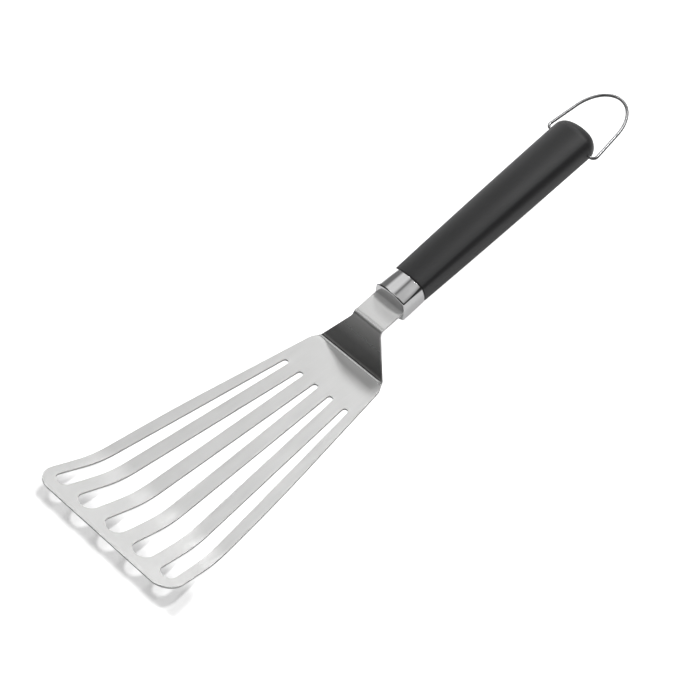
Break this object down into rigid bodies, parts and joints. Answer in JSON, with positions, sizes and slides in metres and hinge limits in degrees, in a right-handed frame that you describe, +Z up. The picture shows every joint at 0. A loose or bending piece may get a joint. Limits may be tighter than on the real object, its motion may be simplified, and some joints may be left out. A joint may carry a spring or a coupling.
{
  "type": "griddle spatula",
  "caption": "Slotted griddle spatula: bent steel blade that fans out to a raised lip, metal ferrule, dark handle and a turning wire bail to hang it by.",
  "frame": {"origin": "on the ground plane, under the centre of the bounding box; the blade's flat underside rests on z = 0", "axes": "+Y from the blade's front edge to the handle's butt, +Z up from the flat of the blade, +X to the right seen from behind the handle, mirror plane x = 0"},
  "size_m": [0.1226, 0.463, 0.0667],
  "materials": {
    "blade_steel": "brushed stainless steel",
    "ferrule_chrome": "polished metal",
    "core_plastic": "moulded black plastic",
    "grip_rubber": "soft satin black",
    "pin_steel": "plain drawn steel",
    "bail_wire": "bright wire"
  },
  "bodies": {
    "tool": {"blade": "blade_steel", "ferrule": "ferrule_chrome", "handle_core": "core_plastic", "handle_grip": "grip_rubber", "tang_pin_front": "pin_steel", "tang_pin_rear": "pin_steel"},
    "bail": {"bail": "bail_wire"}
  },
  "joints": [
    {"name": "bail_hinge", "type": "hinge", "parent": "tool", "child": "bail", "pos_m": [0, 0.18293, 0.05471], "axis": [1, 0, 0], "range_deg": [-162, 163]}
  ]
}
